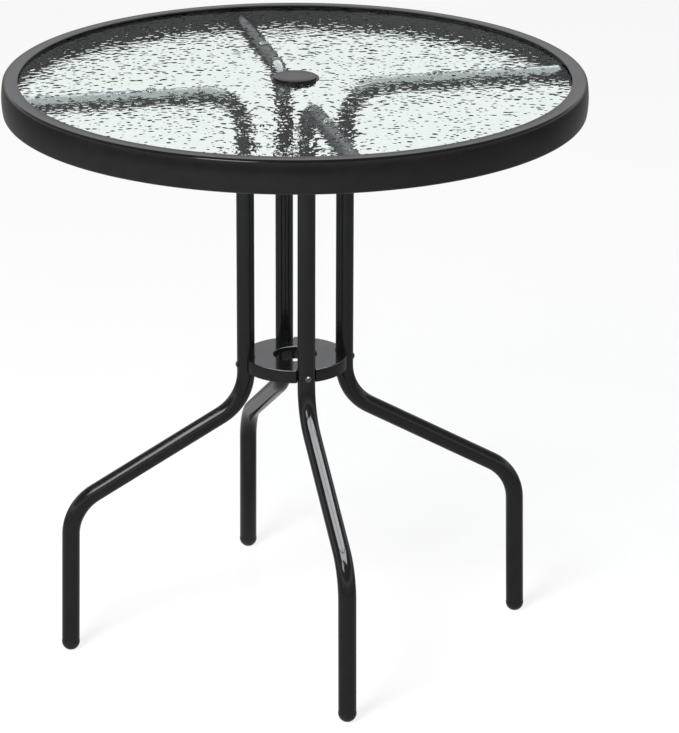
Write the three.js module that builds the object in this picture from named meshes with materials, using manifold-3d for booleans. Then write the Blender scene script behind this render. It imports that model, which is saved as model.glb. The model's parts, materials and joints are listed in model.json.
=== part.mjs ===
// Round patio umbrella table: a glass top in a rolled steel hoop, carried by four bent
// tube legs that nest in the saddles of a pressed ring plate.
// Millimetres, +Z up. The origin is on the floor, on the axis of the umbrella pole.

import * as THREE from 'three';
import { mergeVertices } from 'three/addons/utils/BufferGeometryUtils.js';
import Module from 'manifold-3d';

const wasm = await Module();
wasm.setup();

// Driving sizes of the whole table
const tableDiameter = 700;
const tableHeight = 715; // floor to the flat top of the hoop
const tubeDiameter = 21.6;
const tubeWall = 1.5;
const columnRadius = 61.6; // pole axis to the centre of a leg's upright
const footRadius = 283.9; // pole axis to the centre of a foot on the floor

// Clearances
const fitGap = 0.3; // between pieces that touch
const overrun = 4; // how far a cutting tool reaches past what it cuts

// Hoop: outer side, two bent corners, a wide flange on top and a short lip below
const hoopSkirt = 6.2; // how far the hoop reaches below the brackets that it hides
const hoopSheet = 1.6;
const hoopReach = 20; // outermost point to the inner edge of the top flange
const hoopCorner = 4; // outside bend radius of both corners
const hoopSideCurve = 100; // radius of the side's slight bulge
const hoopLip = 3; // flat part of the lip under the side

// Glass and the soft channel on its edge
const glassThickness = 5;
const glassHoleDiameter = 50.6;
const glassArris = 0.8; // ground corner of the outer edge
const trimWall = 0.9;
const trimCover = 7; // how far the channel laps over the glass

// Ring and cap in the umbrella hole
const ringLap = 3.6; // how far the ring's flange covers the glass round the hole
const ringFlangeThickness = 1.5;
const ringWall = 1.6;
const ringDepth = 9; // glass top to the lower end of the sleeve
const ringEdge = 0.5; // chamfer of the flange
const capLap = 2.8; // how far the cap covers the ring round its bore
const capThickness = 1.4;
const capEdge = 0.5; // chamfer of the cap's top
const capSkirt = 9.5; // length of the plug under the cap
const capWall = 1.5;

// Legs
const topBendRadius = 50;
const kneeBendRadius = 62;
const footBendRadius = 60;
const kneeDrop = 2.8; // end of the plate's flange down to where the knee bend starts
const diagonalFall = THREE.MathUtils.degToRad(29.25); // diagonal below the horizontal
const footLean = THREE.MathUtils.degToRad(1.13); // outward lean of the foot end

// Ring plate: a disc with a turned-down flange, saddles for the tubes and a collared hole
const plateTop = 364.4;
const plateRadius = 63.2; // pole axis to the face of the flange
const plateDepth = 15.9;
const plateSheet = 1.6;
const plateShoulder = 2; // outside radius between flange and saddle, more than the sheet
const plateEdge = 1.2; // rounding of the upper edges
const plateHoleDiameter = 52;
const plateBoltDrop = 8; // plate top down to the bolts

// Bolts through the tubes into the ring plate
const plateBolt = {
  shank: 4,
  head: 7.6,
  headHeight: 1.4,
  nutFlats: 7,
  nutHeight: 3.2,
  endPastNut: 1.5,
};

// Brackets that hold the hoop on the ends of the arms, and their screws
const bracketSheet = 2.5;
const bracketLength = 34; // along the arm
const bracketCorner = 3; // rounding of the upper corners
const troughHalfAngle = THREE.MathUtils.degToRad(68); // wrap on each side of straight down
const screwSetback = 14; // end of the arm back to the screw
const armScrew = {
  shank: 5,
  head: 9.4,
  headHeight: 3.2,
  nutFlats: 8,
  nutHeight: 4,
  endPastNut: 1.5,
};

// Pads between the arms and the glass
const padDiameter = 12;
const padRadius = 175; // pole axis to a pad
const padSkirt = 1.6; // how far the pad's rim hangs below the crown of the tube

// Foot caps
const footBulge = 0.3; // the cap stands out past the tube
const footFlatDepth = 0.5; // how deep the dome is worn flat on the floor
const footCollar = 1.2;
const footShank = 18;
const footWall = 1.6;

// Counts
const legNames = ['right', 'back', 'left', 'front'];
const hoopSteps = 60; // facets round the hoop and the glass
const ringSteps = 24; // facets round the umbrella hole and the hole in the plate
const pinSteps = 12; // facets round fasteners and pads
const footSteps = 16;
const tubeSides = 16;
const boreSides = 10;
const topBendSteps = 6;
const kneeBendSteps = 4;
const footBendSteps = 4;
const outerSteps = { corner: 3, side: 4 }; // along the hoop's section
const innerSteps = { corner: 2, side: 2 };
const cornerSteps = 3;
const saddleSteps = 8;
const plateArcSteps = 6;
const edgeSteps = 2;
const domeSteps = 4;
const hexSides = 6;

const quarterTurn = Math.PI / 2;
const tubeRadius = tubeDiameter / 2;
const boreRadius = tubeRadius - tubeWall;
const boreFlat = boreRadius * Math.cos(Math.PI / boreSides); // axis to a flat of the bore
const cradleRadius = tubeRadius + fitGap; // saddles and troughs round a tube

// The stack under the hoop's flange, from the top down
const trimTop = tableHeight - hoopSheet - fitGap;
const glassTop = trimTop - trimWall - fitGap;
const glassBottom = glassTop - glassThickness;
const trimBottom = glassBottom - fitGap - trimWall;
const armTop = trimBottom - fitGap;
const armHeight = armTop - tubeRadius;
const bracketBottom = armHeight - cradleRadius - bracketSheet;

// The hoop's section, as radii and heights
const hoopRadius = tableDiameter / 2;
const hoopBottom = bracketBottom - hoopSkirt;
const hoopMiddle = (tableHeight + hoopBottom) / 2;
const sideCentre = hoopRadius - hoopSideCurve;
const cornerRise = tableHeight - hoopCorner - hoopMiddle;
const cornerTurn = Math.asin(cornerRise / (hoopSideCurve - hoopCorner));
const cornerCentre = sideCentre + (hoopSideCurve - hoopCorner) * Math.cos(cornerTurn);
const flangeEdge = hoopRadius - hoopReach;

const trimRadius = cornerCentre - fitGap;
const glassRadius = trimRadius - trimWall - fitGap;
const glassHoleRadius = glassHoleDiameter / 2;
const sleeveRadius = glassHoleRadius - fitGap;
const sleeveBore = sleeveRadius - ringWall;
const ringBottom = glassTop + fitGap;
const ringTop = ringBottom + ringFlangeThickness;
const ringFlangeRadius = glassHoleRadius + ringLap;

// Inner face of the hoop's side at a height
function hoopWallAt(height) {
  const curve = hoopSideCurve - hoopSheet;
  return sideCentre + Math.sqrt(curve * curve - (height - hoopMiddle) ** 2);
}

const bracketFace = hoopWallAt(bracketBottom) - fitGap - bracketSheet;
const armEnd = bracketFace - fitGap;
const screwRadius = armEnd - screwSetback;

const boltHeight = plateTop - plateBoltDrop;
const saddleWall = columnRadius - cradleRadius - plateSheet; // inner face of a saddle

const domeRadius = tubeRadius + footBulge;
const domeCentre = domeRadius - footFlatDepth; // floor to the dome's centre
const collarTop = domeCentre + footCollar;
const tubeEnd = collarTop + fitGap; // foot point on the floor to the end of the tube

// Materials
function paint(color, roughness, metalness) {
  return new THREE.MeshStandardMaterial({ color, roughness, metalness });
}

const powderCoat = paint(0x2a2a2c, 0.32, 0.35);
const blackPlastic = paint(0x303033, 0.42, 0.0);
const blackRubber = paint(0x1d1d1e, 0.75, 0.0);
const blackScrew = paint(0x262628, 0.3, 0.8);
const zincSteel = paint(0xa9abad, 0.35, 0.9);
const clearVinyl = paint(0xcfd6d4, 0.35, 0.0);
const paleGlass = new THREE.MeshStandardMaterial({
  color: 0xe3efea,
  roughness: 0.06,
  metalness: 0.0,
  transparent: true,
  opacity: 0.4,
});

// A closed body without seams, facing out, ready for a join or a cut
function solid(geometry) {
  const bare = geometry.index ? geometry.toNonIndexed() : geometry.clone();
  bare.deleteAttribute('normal');
  bare.deleteAttribute('uv');
  const merged = mergeVertices(bare);
  const corners = merged.index.array;
  const triangles = [];
  for (let i = 0; i < corners.length; i += 3) {
    const [a, b, c] = corners.slice(i, i + 3);
    if (a !== b && b !== c && c !== a) {
      triangles.push(a, b, c);
    }
  }
  const body = new wasm.Manifold(new wasm.Mesh({
    numProp: 3,
    vertProperties: new Float32Array(merged.attributes.position.array),
    triVerts: new Uint32Array(outward(merged.attributes.position, triangles)),
  }));
  return body;
}

// Turns every triangle over when the body is inside out
function outward(position, triangles) {
  const [a, b, c] = [new THREE.Vector3(), new THREE.Vector3(), new THREE.Vector3()];
  let volume = 0;
  for (let i = 0; i < triangles.length; i += 3) {
    a.fromBufferAttribute(position, triangles[i]);
    b.fromBufferAttribute(position, triangles[i + 1]);
    c.fromBufferAttribute(position, triangles[i + 2]);
    volume += a.dot(b.cross(c));
  }
  return volume < 0 ? triangles.reverse() : triangles;
}

function surface(body) {
  const { vertProperties, triVerts } = body.getMesh();
  const geometry = new THREE.BufferGeometry();
  geometry.setAttribute('position', new THREE.BufferAttribute(vertProperties, 3));
  geometry.setIndex(new THREE.BufferAttribute(triVerts, 1));
  geometry.computeVertexNormals();
  return geometry;
}

function part(name, material, body) {
  const mesh = new THREE.Mesh(surface(body), material);
  mesh.name = name;
  return mesh;
}

// Points of an arc in a plane, both ends included
function arc(x, y, radius, from, to, steps) {
  const points = [];
  for (let i = 0; i <= steps; i += 1) {
    const angle = from + ((to - from) * i) / steps;
    points.push([x + radius * Math.cos(angle), y + radius * Math.sin(angle)]);
  }
  return points;
}

function vectors(points) {
  return points.map(([x, y]) => new THREE.Vector2(x, y));
}

// Turns a section of [radius, height] points round the Z axis
function revolved(points, steps, closed) {
  const section = closed ? [...points, points[0]] : points;
  const geometry = new THREE.LatheGeometry(vectors(section), steps);
  return solid(geometry.rotateX(quarterTurn));
}

// A cylinder along X, from one distance to another, at a height
function crossPin(radius, from, to, height) {
  const geometry = new THREE.CylinderGeometry(radius, radius, to - from, pinSteps);
  geometry.rotateZ(quarterTurn);
  return solid(geometry.translate((from + to) / 2, 0, height));
}

// A cylinder along Z, from one height to another
function uprightPin(radius, x, from, to) {
  const geometry = new THREE.CylinderGeometry(radius, radius, to - from, pinSteps);
  geometry.rotateX(quarterTurn);
  return solid(geometry.translate(x, 0, (from + to) / 2));
}

// A prism of an outline drawn across the arm, from one radius to another
function prismAlongX(outline, from, to) {
  const shape = new THREE.Shape(vectors(outline));
  const geometry = new THREE.ExtrudeGeometry(shape, { depth: to - from, bevelEnabled: false });
  geometry.rotateX(quarterTurn);
  geometry.rotateZ(quarterTurn);
  return solid(geometry.translate(from, 0, 0));
}

// Hoop
function hoopSide(offset, steps) {
  return [
    ...arc(cornerCentre, tableHeight - hoopCorner, hoopCorner - offset,
      quarterTurn, cornerTurn, steps.corner),
    ...arc(sideCentre, hoopMiddle, hoopSideCurve - offset,
      cornerTurn, -cornerTurn, steps.side).slice(1, -1),
    ...arc(cornerCentre, hoopBottom + hoopCorner, hoopCorner - offset,
      -cornerTurn, -quarterTurn, steps.corner),
  ];
}

function rimHoop() {
  const lipEdge = cornerCentre - hoopLip;
  const section = [
    [flangeEdge, tableHeight],
    ...hoopSide(0, outerSteps),
    [lipEdge, hoopBottom],
    [lipEdge, hoopBottom + hoopSheet],
    ...hoopSide(hoopSheet, innerSteps).reverse(),
    [flangeEdge, tableHeight - hoopSheet],
  ];
  return part('rim_hoop', powderCoat, revolved(section, hoopSteps, true));
}

// Everything inside the hoop's side, less the fit gap
function hoopInside() {
  const wall = hoopSide(hoopSheet + fitGap, innerSteps);
  const section = [[0, wall[0][1]], ...wall, [0, wall[wall.length - 1][1]]];
  return revolved(section, hoopSteps, false);
}

// Glass and its edge channel
function glassPanel() {
  // the open face of the glass lies between the ring's flange and the hoop's
  const section = [
    [glassHoleRadius, glassTop],
    [ringFlangeRadius + fitGap, glassTop],
    [flangeEdge - fitGap, glassTop],
    [glassRadius - glassArris, glassTop],
    [glassRadius, glassTop - glassArris],
    [glassRadius, glassBottom + glassArris],
    [glassRadius - glassArris, glassBottom],
    [glassHoleRadius, glassBottom],
  ];
  return part('glass_panel', paleGlass, revolved(section, hoopSteps, true));
}

function glassTrim() {
  const legEdge = glassRadius - trimCover;
  const backFace = trimRadius - trimWall;
  const section = [
    [legEdge, trimTop],
    [trimRadius, trimTop],
    [trimRadius, trimBottom],
    [legEdge, trimBottom],
    [legEdge, trimBottom + trimWall],
    [backFace, trimBottom + trimWall],
    [backFace, trimTop - trimWall],
    [legEdge, trimTop - trimWall],
  ];
  return part('glass_trim', blackRubber, revolved(section, hoopSteps, true));
}

// Umbrella hole
function holeRing() {
  const sleeveEnd = glassTop - ringDepth;
  const section = [
    [sleeveBore, ringTop],
    [ringFlangeRadius - ringEdge, ringTop],
    [ringFlangeRadius, ringTop - ringEdge],
    [ringFlangeRadius, ringBottom],
    [sleeveRadius, ringBottom],
    [sleeveRadius, sleeveEnd],
    [sleeveBore, sleeveEnd],
  ];
  return part('hole_ring', blackPlastic, revolved(section, ringSteps, true));
}

function holeCap() {
  const lidRadius = sleeveBore + capLap;
  const lidBottom = ringTop + fitGap;
  const lidTop = lidBottom + capThickness;
  const plugRadius = sleeveBore - fitGap;
  const plugEnd = lidBottom - capSkirt;
  const section = [
    [0, lidTop],
    [lidRadius - capEdge, lidTop],
    [lidRadius, lidTop - capEdge],
    [lidRadius, lidBottom],
    [plugRadius, lidBottom],
    [plugRadius, plugEnd],
    [plugRadius - capWall, plugEnd],
    [plugRadius - capWall, lidBottom],
    [0, lidBottom],
  ];
  return part('hole_cap', blackPlastic, revolved(section, ringSteps, false));
}

// The centre line of a leg in its own plane, with a station at each change of direction
class LegLine extends THREE.Curve {
  constructor(stations) {
    super();
    this.stations = stations;
  }

  between(share, key) {
    const last = this.stations.length - 1;
    const place = share * last;
    const low = Math.min(Math.floor(place), last);
    const high = Math.min(low + 1, last);
    return this.stations[low][key].clone().lerp(this.stations[high][key], place - low);
  }

  getPoint(share) {
    return this.between(share, 'point');
  }

  getPointAt(share) {
    return this.between(share, 'point');
  }

  getTangentAt(share) {
    return this.between(share, 'along').normalize();
  }
}

function station(x, z, angle) {
  return {
    point: new THREE.Vector3(x, 0, z),
    along: new THREE.Vector3(Math.cos(angle), 0, Math.sin(angle)),
  };
}

// Stations round a bend: the line turns from one heading to another about a centre
function bend(x, z, radius, heading, nextHeading, steps) {
  const side = Math.sign(nextHeading - heading);
  const stations = [];
  for (let i = 0; i <= steps; i += 1) {
    const angle = heading + ((nextHeading - heading) * i) / steps;
    const spoke = angle - side * quarterTurn;
    stations.push(station(x + radius * Math.cos(spoke), z + radius * Math.sin(spoke), angle));
  }
  return stations;
}

// Centre of the bend that rounds a corner between two headings
function bendCentre(x, z, radius, heading, nextHeading) {
  const side = Math.sign(nextHeading - heading);
  const reach = radius / Math.cos((nextHeading - heading) / 2);
  const middle = (heading + nextHeading) / 2 + side * quarterTurn;
  return [x + reach * Math.cos(middle), z + reach * Math.sin(middle)];
}

function legStations() {
  const inward = Math.PI;
  const down = Math.PI + quarterTurn;
  const outwardDown = 2 * Math.PI - diagonalFall;
  const footDown = down + footLean;
  // the corner between the upright and the diagonal
  const kneeStart = plateTop - plateDepth - kneeDrop;
  const kneeHeight = kneeStart - kneeBendRadius * Math.tan((outwardDown - down) / 2);
  // the corner between the diagonal and the foot end
  const run = footRadius - columnRadius;
  const fall = Math.tan(diagonalFall);
  const lean = Math.tan(footLean);
  const ankleHeight = (kneeHeight - run * fall) / (1 - lean * fall);
  const ankleRadius = footRadius - ankleHeight * lean;
  const knee = bendCentre(columnRadius, kneeHeight, kneeBendRadius, down, outwardDown);
  const ankle = bendCentre(ankleRadius, ankleHeight, footBendRadius, outwardDown, footDown);
  return [
    station(armEnd, armHeight, inward),
    ...bend(columnRadius + topBendRadius, armHeight - topBendRadius, topBendRadius,
      inward, down, topBendSteps),
    ...bend(...knee, kneeBendRadius, down, outwardDown, kneeBendSteps),
    ...bend(...ankle, footBendRadius, outwardDown, footDown, footBendSteps),
    station(footRadius - tubeEnd * Math.sin(footLean), tubeEnd * Math.cos(footLean), footDown),
  ];
}

function ringOutline(radius, sides) {
  return arc(0, 0, radius, 0, 2 * Math.PI, sides).slice(0, -1);
}

function legTube(name) {
  const section = new THREE.Shape(vectors(ringOutline(tubeRadius, tubeSides)));
  section.holes.push(new THREE.Path(vectors(ringOutline(boreRadius, boreSides))));
  const stations = legStations();
  const geometry = new THREE.ExtrudeGeometry(section, {
    extrudePath: new LegLine(stations),
    steps: stations.length - 1,
  });
  const boltHole = crossPin(plateBolt.shank / 2 + fitGap, columnRadius - tubeRadius - overrun,
    columnRadius + tubeRadius + overrun, boltHeight);
  const screwHole = uprightPin(armScrew.shank / 2 + fitGap, screwRadius,
    armHeight - tubeRadius - overrun, armHeight);
  return part(`leg_tube_${name}`, powderCoat,
    solid(geometry).subtract(boltHole).subtract(screwHole));
}

// Ring plate
// One quarter of the outline, centred on a tube: half an arc of the disc, a shoulder,
// the saddle and back out. The offset moves the whole line into the metal.
function saddleQuarter(azimuth, offset) {
  const shoulderRing = plateRadius - plateShoulder;
  const reach = cradleRadius + plateShoulder;
  const turn = Math.acos((shoulderRing ** 2 + columnRadius ** 2 - reach ** 2)
    / (2 * shoulderRing * columnRadius));
  const tubeX = columnRadius * Math.cos(azimuth);
  const tubeY = columnRadius * Math.sin(azimuth);
  const shoulder = (side) => [
    shoulderRing * Math.cos(azimuth + side * turn),
    shoulderRing * Math.sin(azimuth + side * turn),
  ];
  const [lowX, lowY] = shoulder(-1);
  const [highX, highY] = shoulder(1);
  // heading from a shoulder's centre to the tube's centre, seen from the azimuth
  const lean = Math.atan2(shoulderRing * Math.sin(turn), columnRadius - shoulderRing * Math.cos(turn));
  return [
    ...arc(0, 0, plateRadius - offset, azimuth - quarterTurn / 2, azimuth - turn,
      plateArcSteps / 2),
    ...arc(lowX, lowY, plateShoulder - offset, azimuth - turn, azimuth + lean,
      cornerSteps).slice(1),
    ...arc(tubeX, tubeY, cradleRadius + offset, azimuth + lean + Math.PI, azimuth - lean + Math.PI,
      saddleSteps).slice(1),
    ...arc(highX, highY, plateShoulder - offset, azimuth - lean, azimuth + turn,
      cornerSteps).slice(1),
    ...arc(0, 0, plateRadius - offset, azimuth + turn, azimuth + quarterTurn / 2,
      plateArcSteps / 2).slice(1, -1),
  ];
}

function plateShape(offset, holeRadius) {
  const outline = legNames.flatMap((name, i) => saddleQuarter(i * quarterTurn, offset));
  const shape = new THREE.Shape(vectors(outline));
  shape.holes.push(new THREE.Path(vectors(ringOutline(holeRadius, ringSteps))));
  return shape;
}

function ringPlate() {
  const holeRadius = plateHoleDiameter / 2;
  const flangeEnd = plateTop - plateDepth;
  const blank = new THREE.ExtrudeGeometry(plateShape(0, holeRadius), {
    depth: plateDepth,
    bevelThickness: plateEdge,
    bevelSize: plateEdge,
    bevelOffset: -plateEdge,
    bevelSegments: edgeSteps,
  });
  blank.translate(0, 0, flangeEnd - plateEdge);
  const channel = new THREE.ExtrudeGeometry(plateShape(plateSheet, holeRadius + plateSheet), {
    depth: plateDepth - plateSheet + overrun,
    bevelEnabled: false,
  });
  channel.translate(0, 0, flangeEnd - overrun);
  const below = new THREE.CylinderGeometry(plateRadius + overrun, plateRadius + overrun,
    overrun, ringSteps);
  below.rotateX(quarterTurn);
  below.translate(0, 0, flangeEnd - overrun / 2);
  let plate = solid(blank).subtract(solid(channel)).subtract(solid(below));
  for (let i = 0; i < legNames.length; i += 1) {
    const drill = crossPin(plateBolt.shank / 2 + fitGap, saddleWall - overrun,
      saddleWall + plateSheet + overrun, boltHeight);
    plate = plate.subtract(drill.rotate([0, 0, THREE.MathUtils.radToDeg(i * quarterTurn)]));
  }
  return part('ring_plate', powderCoat, plate);
}

// Fasteners stand on Z, with the head at the bottom and its flat at height zero
function headedPin(size, length) {
  const headRadius = size.head / 2;
  // a domed head: an arc through the rim and the crown
  const curve = (headRadius ** 2 + size.headHeight ** 2) / (2 * size.headHeight);
  const halfTurn = Math.asin(headRadius / curve);
  const dome = arc(0, curve - size.headHeight, curve, -quarterTurn, halfTurn - quarterTurn,
    cornerSteps);
  dome[0][0] = 0;
  const section = [
    ...dome,
    [size.shank / 2, 0],
    [size.shank / 2, length],
    [0, length],
  ];
  return revolved(section, pinSteps, false);
}

function nutCorner(size) {
  return size.nutFlats / 2 / Math.cos(Math.PI / hexSides);
}

function hexNut(size) {
  const shape = new THREE.Shape(vectors(ringOutline(nutCorner(size), hexSides)));
  shape.holes.push(new THREE.Path(vectors(ringOutline(size.shank / 2 + fitGap, pinSteps))));
  return solid(new THREE.ExtrudeGeometry(shape, { depth: size.nutHeight, bevelEnabled: false }));
}

function placed(mesh, x, z, turn) {
  mesh.position.set(x, 0, z);
  mesh.rotation.y = turn;
  return mesh;
}

function plateFasteners(name) {
  const headFace = columnRadius + tubeRadius + fitGap;
  const nutFace = saddleWall - fitGap;
  const length = headFace - nutFace + plateBolt.nutHeight + plateBolt.endPastNut;
  const bolt = part(`plate_bolt_${name}`, blackScrew, headedPin(plateBolt, length));
  const nut = part(`plate_nut_${name}`, zincSteel, hexNut(plateBolt));
  return [
    placed(bolt, headFace, boltHeight, -quarterTurn),
    placed(nut, nutFace, boltHeight, -quarterTurn),
  ];
}

// Bracket: a trough under the end of the arm, and a foot that stands against the hoop
function troughOutline() {
  const down = -quarterTurn;
  return [
    ...arc(0, armHeight, cradleRadius + bracketSheet, down - troughHalfAngle,
      down + troughHalfAngle, saddleSteps),
    ...arc(0, armHeight, cradleRadius, down + troughHalfAngle, down - troughHalfAngle,
      saddleSteps),
  ];
}

function uprightOutline() {
  const width = cradleRadius + bracketSheet;
  return [
    ...arc(0, armHeight, width, -Math.PI, 0, saddleSteps),
    ...arc(width - bracketCorner, armTop - bracketCorner, bracketCorner, 0, quarterTurn,
      cornerSteps),
    ...arc(bracketCorner - width, armTop - bracketCorner, bracketCorner, quarterTurn, Math.PI,
      cornerSteps),
  ];
}

function rimBracket(name) {
  const trough = prismAlongX(troughOutline(), armEnd - bracketLength, hoopRadius);
  const upright = prismAlongX(uprightOutline(), bracketFace, hoopRadius);
  const hole = uprightPin(armScrew.shank / 2 + fitGap, screwRadius, bracketBottom - overrun,
    armHeight);
  const body = trough.add(upright).intersect(hoopInside()).subtract(hole);
  return part(`rim_bracket_${name}`, powderCoat, body);
}

function armFasteners(name) {
  const headFace = bracketBottom - fitGap;
  // the nut lies across the round floor of the bore
  const nutFace = armHeight - Math.sqrt(boreFlat ** 2 - nutCorner(armScrew) ** 2) + fitGap;
  const length = nutFace - headFace + armScrew.nutHeight + armScrew.endPastNut;
  const screw = part(`rim_screw_${name}`, blackScrew, headedPin(armScrew, length));
  const nut = part(`rim_nut_${name}`, zincSteel, hexNut(armScrew));
  return [placed(screw, screwRadius, headFace, 0), placed(nut, screwRadius, nutFace, 0)];
}

function glassPad(name) {
  const block = uprightPin(padDiameter / 2, padRadius, armTop - padSkirt, glassBottom - fitGap);
  const reach = padDiameter / 2 + overrun;
  const arm = crossPin(cradleRadius, padRadius - reach, padRadius + reach, armHeight);
  return part(`glass_pad_${name}`, clearVinyl, block.subtract(arm));
}

// Foot cap: a dome worn flat, a collar and a hollow shank inside the tube
function footCap(name) {
  const shankRadius = boreFlat - fitGap;
  const section = [
    ...arc(0, domeCentre, domeRadius, -quarterTurn, 0, domeSteps),
    [domeRadius, collarTop],
    [shankRadius, collarTop],
    [shankRadius, collarTop + footShank],
    [shankRadius - footWall, collarTop + footShank],
    [shankRadius - footWall, collarTop],
    [0, collarTop],
  ];
  section[0][0] = 0;
  const leaned = revolved(section, footSteps, false)
    .rotate([0, THREE.MathUtils.radToDeg(-footLean), 0])
    .translate([footRadius, 0, 0]);
  const floor = uprightPin(domeRadius + overrun, footRadius, -overrun, 0);
  return part(`foot_cap_${name}`, blackPlastic, leaned.subtract(floor));
}

// One leg with all that it carries, along +X
function legUnit(name) {
  const unit = new THREE.Group();
  unit.add(legTube(name), footCap(name), rimBracket(name), glassPad(name));
  unit.add(...plateFasteners(name), ...armFasteners(name));
  return unit;
}

const table = new THREE.Group();
table.add(rimHoop(), glassPanel(), glassTrim(), holeRing(), holeCap(), ringPlate());
legNames.forEach((name, i) => {
  const unit = legUnit(name);
  unit.rotation.z = i * quarterTurn;
  table.add(unit);
});

export default table;
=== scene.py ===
# Looks of the umbrella table: fine surfaces, materials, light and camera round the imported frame.
# Metres, +Z up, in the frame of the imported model.

import json
import math

import bpy
import numpy as np
from mathutils import Matrix, Vector

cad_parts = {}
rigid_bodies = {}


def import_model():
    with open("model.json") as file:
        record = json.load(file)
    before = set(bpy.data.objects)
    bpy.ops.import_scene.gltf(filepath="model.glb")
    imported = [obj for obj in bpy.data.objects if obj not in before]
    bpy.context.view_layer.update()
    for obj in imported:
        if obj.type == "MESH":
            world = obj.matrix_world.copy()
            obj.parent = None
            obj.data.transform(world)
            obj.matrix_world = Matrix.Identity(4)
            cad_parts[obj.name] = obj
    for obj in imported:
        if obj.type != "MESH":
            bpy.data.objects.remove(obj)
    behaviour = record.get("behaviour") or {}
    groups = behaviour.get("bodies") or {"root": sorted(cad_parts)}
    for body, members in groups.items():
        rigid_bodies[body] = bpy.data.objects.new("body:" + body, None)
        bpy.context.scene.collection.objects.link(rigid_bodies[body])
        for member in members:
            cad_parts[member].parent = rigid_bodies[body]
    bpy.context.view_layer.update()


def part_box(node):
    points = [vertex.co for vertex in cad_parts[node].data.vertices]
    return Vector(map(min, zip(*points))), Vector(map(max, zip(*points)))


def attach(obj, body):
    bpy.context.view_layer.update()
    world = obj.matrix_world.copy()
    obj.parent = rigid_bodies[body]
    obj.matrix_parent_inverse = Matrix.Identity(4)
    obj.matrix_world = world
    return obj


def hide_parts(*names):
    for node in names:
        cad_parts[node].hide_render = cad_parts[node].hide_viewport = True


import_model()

MM = 0.001
QUARTER = math.pi / 2
LEGS = ("right", "back", "left", "front")

# Sizes that the frame gives
hoop_low, hoop_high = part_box("rim_hoop")
glass_low, glass_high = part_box("glass_panel")
trim_low, trim_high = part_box("glass_trim")
ring_low, ring_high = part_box("hole_ring")
cap_low, cap_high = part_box("hole_cap")
plate_low, plate_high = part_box("ring_plate")
tube_low, tube_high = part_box("leg_tube_right")
bracket_low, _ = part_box("rim_bracket_right")
pad_low, pad_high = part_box("glass_pad_right")

TUBE_RADIUS = tube_high.y
ARM_HEIGHT = tube_high.z - TUBE_RADIUS
ARM_END = tube_high.x
COLUMN_RADIUS = tube_low.x + TUBE_RADIUS

# Sizes that part.mjs names too
GAP = 0.3 * MM
TUBE_WALL = 1.5 * MM
FOOT_RADIUS = 283.9 * MM
TOP_BEND = 50 * MM
KNEE_BEND = 62 * MM
FOOT_BEND = 60 * MM
KNEE_DROP = 2.8 * MM
DIAGONAL_FALL = math.radians(29.25)
FOOT_LEAN = math.radians(1.13)
HOOP_SHEET = 1.6 * MM
HOOP_REACH = 20 * MM
HOOP_CORNER = 4 * MM
HOOP_SIDE_CURVE = 100 * MM
HOOP_LIP = 3 * MM
GLASS_HOLE = 25.3 * MM
TRIM_WALL = 0.9 * MM
TRIM_COVER = 7 * MM
RING_FLANGE = 1.5 * MM
RING_WALL = 1.6 * MM
CAP_LID = 1.4 * MM
CAP_WALL = 1.5 * MM
PLATE_SHEET = 1.6 * MM
PLATE_RADIUS = 63.2 * MM
PLATE_SHOULDER = 2 * MM
PLATE_EDGE = 1.2 * MM
PLATE_HOLE = 26 * MM
BOLT_DROP = 8 * MM
PLATE_BOLT = {"shank": 4 * MM, "head": 7.6 * MM, "head_height": 1.4 * MM, "socket": 2.5 * MM}
PLATE_NUT_FLATS = 7 * MM
ARM_SCREW = {"shank": 5 * MM, "head": 9.4 * MM, "head_height": 3.2 * MM, "socket": 3 * MM}
ARM_NUT_FLATS = 8 * MM
BRACKET_SHEET = 2.5 * MM
BRACKET_CORNER = 3 * MM
TROUGH_HALF_ANGLE = math.radians(68)
FOOT_BULGE = 0.3 * MM
FOOT_FLAT = 0.5 * MM
FOOT_COLLAR = 1.2 * MM
FOOT_SHANK = 18 * MM
FOOT_WALL = 1.6 * MM

CRADLE_RADIUS = TUBE_RADIUS + GAP

# Fineness of the meshes
EDGE_STEPS = 4
SHARP_ANGLE = math.radians(32)


# Outlines and meshes
def arc(x, y, radius, start, end, steps):
    """Points of an arc, both ends included."""
    turns = np.linspace(start, end, steps + 1)
    return [(x + radius * math.cos(a), y + radius * math.sin(a)) for a in turns]


def grid(rows, around_closed, along_closed):
    """Vertices and quads of equal rows of points."""
    count = len(rows[0])
    vertices = [tuple(p) for row in rows for p in row]
    faces = []
    last = len(rows) if along_closed else len(rows) - 1
    for i in range(last):
        j = (i + 1) % len(rows)
        for k in range(count if around_closed else count - 1):
            n = (k + 1) % count
            faces.append((i * count + k, i * count + n, j * count + n, j * count + k))
    return vertices, faces


def lathe(points, steps, closed):
    """A section of (radius, height) points turned round Z. An open one starts and ends on the axis."""
    turns = [2 * math.pi * i / steps for i in range(steps)]
    inner = points if closed else points[1:-1]
    rows = [[(r * math.cos(a), r * math.sin(a), z) for a in turns] for r, z in inner]
    vertices, faces = grid(rows, True, closed)
    if not closed:
        first, last = len(vertices), len(vertices) + 1
        vertices += [(0, 0, points[0][1]), (0, 0, points[-1][1])]
        end = (len(inner) - 1) * steps
        for i in range(steps):
            n = (i + 1) % steps
            faces.append((first, n, i))
            faces.append((last, end + i, end + n))
    return vertices, faces


def turned(vertices, matrix):
    return [tuple(matrix @ Vector(v)) for v in vertices]


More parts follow.
